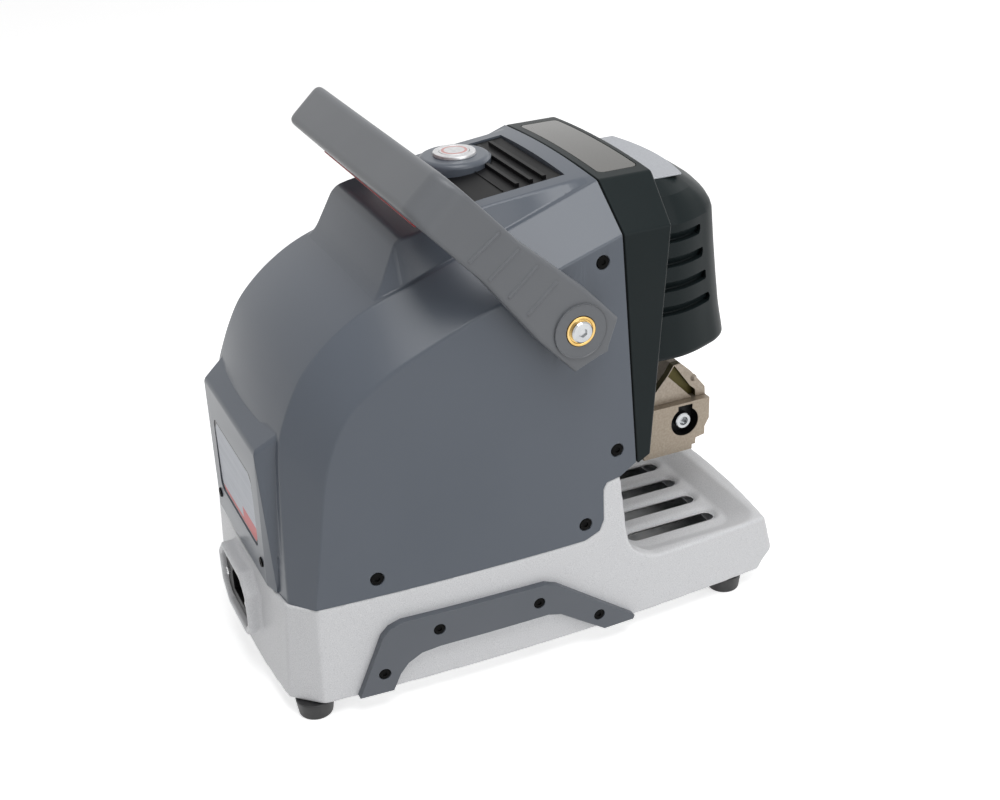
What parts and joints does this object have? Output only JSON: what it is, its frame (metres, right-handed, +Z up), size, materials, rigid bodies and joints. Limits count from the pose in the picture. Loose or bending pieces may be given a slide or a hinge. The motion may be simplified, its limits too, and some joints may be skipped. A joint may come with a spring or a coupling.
{
  "type": "key duplicating machine",
  "caption": "Bench-top automatic key cutter with a domed casing, lifting bail handle, hooded spindle head, key clamp on a cross slide and a slotted chip tray.",
  "frame": {"origin": "on the bench under the middle of the machine: the centre of its overall box at the level of the feet", "axes": "+Z up, +X to the right of a person facing the clamp, -Y towards that person, +Y to the rear with the mains inlet"},
  "size_m": [0.2088, 0.3238, 0.3055],
  "materials": {
    "base_paint": "powder-coated cast housing, light silver grey with a fine speckle",
    "casing_plastic": "moulded casing, satin blue grey",
    "trim_plastic": "moulded rail, satin dark blue grey",
    "frame_dark": "moulded frame, satin near-black green grey",
    "hood_dark": "moulded hood, satin near-black green grey",
    "smoked": "smoked bronze-grey cover",
    "silver_plate": "satin silver trim plate",
    "rubber_black": "moulded black rubber",
    "screw_black": "blackened steel screws",
    "steel": "bright machined steel",
    "sheet_steel": "plated sheet steel",
    "chrome": "polished chrome",
    "black_plastic": "black moulded plastic",
    "label_grey": "bare silver-grey rating plate with a red edge stripe",
    "brass": "turned brass",
    "handle_plastic": "moulded bail, satin blue grey",
    "inlay_red": "soft red inlay",
    "alloy": "machined aluminium",
    "clamp_metal": "anodised clamp, champagne titanium colour",
    "motor_black": "black motor can",
    "carbide": "coated cutter",
    "clear_guard": "clear polycarbonate guard",
    "board_green": "circuit board",
    "zinc": "zinc-plated case"
  },
  "bodies": {
    "base": {"base_casting": "base_paint", "bottom_plate": "sheet_steel", "plate_screws": "screw_black", "feet": "rubber_black", "foot_screws": "steel", "side_rail_left": "trim_plastic", "side_rail_right": "trim_plastic", "rail_screws": "screw_black", "main_shell": "casing_plastic", "shell_screws": "screw_black", "shell_gasket": "rubber_black", "front_frame": "frame_dark", "smoked_panel": "smoked", "head_hood": "hood_dark", "hood_plate": "silver_plate", "roof_grille": "black_plastic", "button_body": "chrome", "button_spring": "steel", "label_plate": "label_grey", "label_screws": "screw_black", "inlet_socket": "black_plastic", "inlet_pins": "brass", "inlet_screws": "steel", "column_frame": "alloy", "handle_bushes": "brass", "handle_bolts": "steel", "y_rods": "steel", "rear_bracket": "alloy", "y_motor": "motor_black", "z_rods": "steel", "z_bracket": "alloy", "z_motor": "motor_black", "power_supply": "zinc", "control_board": "board_green", "fan_frame": "black_plastic"},
    "handle": {"handle_bail": "handle_plastic", "grip_inlay": "inlay_red"},
    "button": {"button_cap": "chrome"},
    "y_carriage": {"y_carriage": "alloy", "x_rods": "steel", "x_motor": "motor_black"},
    "y_screw": {"y_screw": "steel"},
    "x_table": {"x_table": "alloy", "clamp_body": "clamp_metal"},
    "x_screw": {"x_screw": "steel"},
    "z_carriage": {"z_carriage": "alloy", "spindle_motor": "motor_black", "spindle_housing": "steel", "spindle_bearings": "steel", "drive_belt": "rubber_black", "probe": "steel", "chip_guard": "clear_guard"},
    "z_screw": {"z_screw": "steel"},
    "spindle": {"spindle_shaft": "steel", "cutter": "carbide"},
    "motor_shaft": {"motor_shaft": "steel"},
    "clamp_jaw": {"clamp_jaw": "clamp_metal"},
    "clamp_screw": {"clamp_screw": "chrome"},
    "fan_rotor": {"fan_rotor": "black_plastic"}
  },
  "joints": [
    {"name": "handle_pivot", "type": "hinge", "parent": "base", "child": "handle", "pos_m": [0, -0.0138, 0.2117], "axis": [1, 0, 0], "range_deg": [-20, 88]},
    {"name": "button_press", "type": "slide", "parent": "base", "child": "button", "axis": [0, 0, 1], "range_m": [-0.0025, 0], "stiffness_N_per_m": 400, "springref_m": 0.002, "deforming": ["button_spring"]},
    {"name": "y_slide", "type": "slide", "parent": "base", "child": "y_carriage", "axis": [0, 1, 0], "range_m": [-0.014, 0.014]},
    {"name": "y_screw_spin", "type": "hinge", "parent": "base", "child": "y_screw", "pos_m": [0, 0, 0.084], "axis": [0, 1, 0], "range_deg": [-1262, 1262]},
    {"name": "x_slide", "type": "slide", "parent": "y_carriage", "child": "x_table", "axis": [1, 0, 0], "range_m": [-0.014, 0.014]},
    {"name": "x_screw_spin", "type": "hinge", "parent": "y_carriage", "child": "x_screw", "pos_m": [0, 0.0129, 0.104], "axis": [1, 0, 0], "range_deg": [-1262, 1262]},
    {"name": "z_slide", "type": "slide", "parent": "base", "child": "z_carriage", "axis": [0, 0, 1], "range_m": [-0.01, 0.003]},
    {"name": "z_screw_spin", "type": "hinge", "parent": "base", "child": "z_screw", "pos_m": [0.03, -0.0541, 0.2], "axis": [0, 0, 1], "range_deg": [-902, 272]},
    {"name": "spindle_spin", "type": "hinge", "parent": "z_carriage", "child": "spindle", "pos_m": [0, -0.1121, 0.2], "axis": [0, 0, 1], "continuous": true},
    {"name": "motor_spin", "type": "hinge", "parent": "z_carriage", "child": "motor_shaft", "pos_m": [-0.034, -0.1021, 0.22], "axis": [0, 0, 1], "continuous": true},
    {"name": "jaw_slide", "type": "slide", "parent": "x_table", "child": "clamp_jaw", "axis": [1, 0, 0], "range_m": [-0.005, 0]},
    {"name": "clamp_screw_spin", "type": "hinge", "parent": "x_table", "child": "clamp_screw", "pos_m": [0, -0.1208, 0.098], "axis": [1, 0, 0], "range_deg": [-2, 1202]},
    {"name": "fan_spin", "type": "hinge", "parent": "base", "child": "fan_rotor", "pos_m": [-0.018, -0.0081, 0.2727], "axis": [0, 0.1011, 0.9949], "continuous": true}
  ],
  "couplings": [
    {"joint": "y_screw_spin", "follows": "y_slide", "rad_per_m": 1570.8},
    {"joint": "x_screw_spin", "follows": "x_slide", "rad_per_m": 1570.8},
    {"joint": "z_screw_spin", "follows": "z_slide", "rad_per_m": 1570.8},
    {"joint": "motor_spin", "follows": "spindle_spin", "ratio": 1.75},
    {"joint": "clamp_screw_spin", "follows": "jaw_slide", "rad_per_m": -4188.8}
  ]
}
